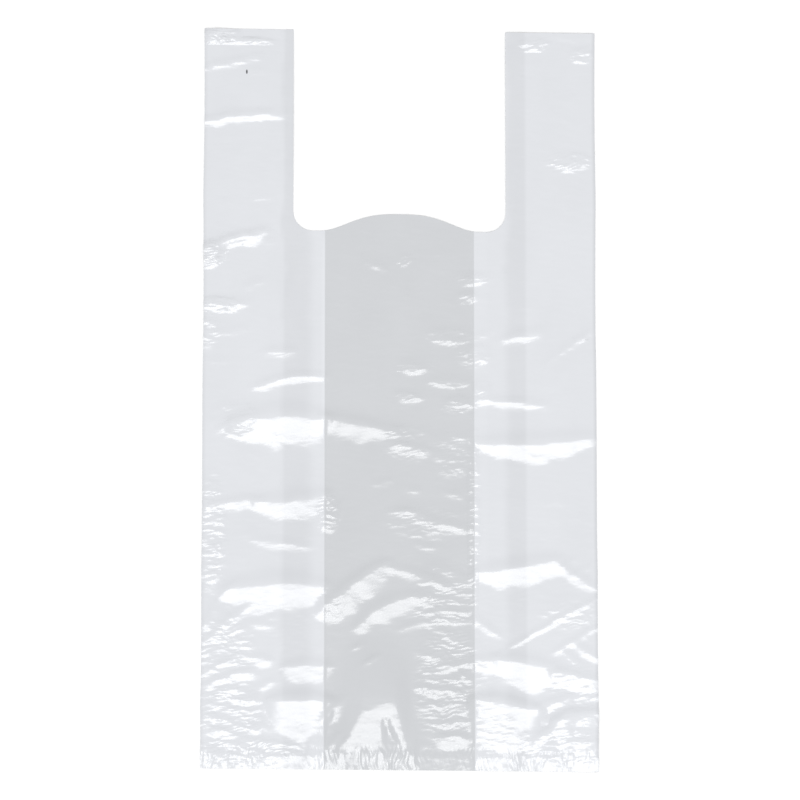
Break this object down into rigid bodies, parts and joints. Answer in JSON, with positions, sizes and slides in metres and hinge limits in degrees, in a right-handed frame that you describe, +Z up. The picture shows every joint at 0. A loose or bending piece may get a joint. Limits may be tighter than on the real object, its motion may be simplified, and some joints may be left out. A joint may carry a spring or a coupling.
{
  "type": "plastic carrier bag",
  "caption": "Empty vest-style carrier bag of thin translucent plastic film, lying flat, with side gussets, a cut mouth between tall handles and a heat-sealed bottom.",
  "frame": {"origin": "the middle of the flat bag on the surface that it lies on", "axes": "+Y along the bag towards the handles, +X across it, +Z up through the folded layers"},
  "size_m": [0.3, 0.562, 0.0018],
  "materials": {
    "film": "milky translucent blown polyethylene film, glossy, with fine creases"
  },
  "bodies": {
    "root": {"carrier_bag": "film"}
  },
  "joints": []
}
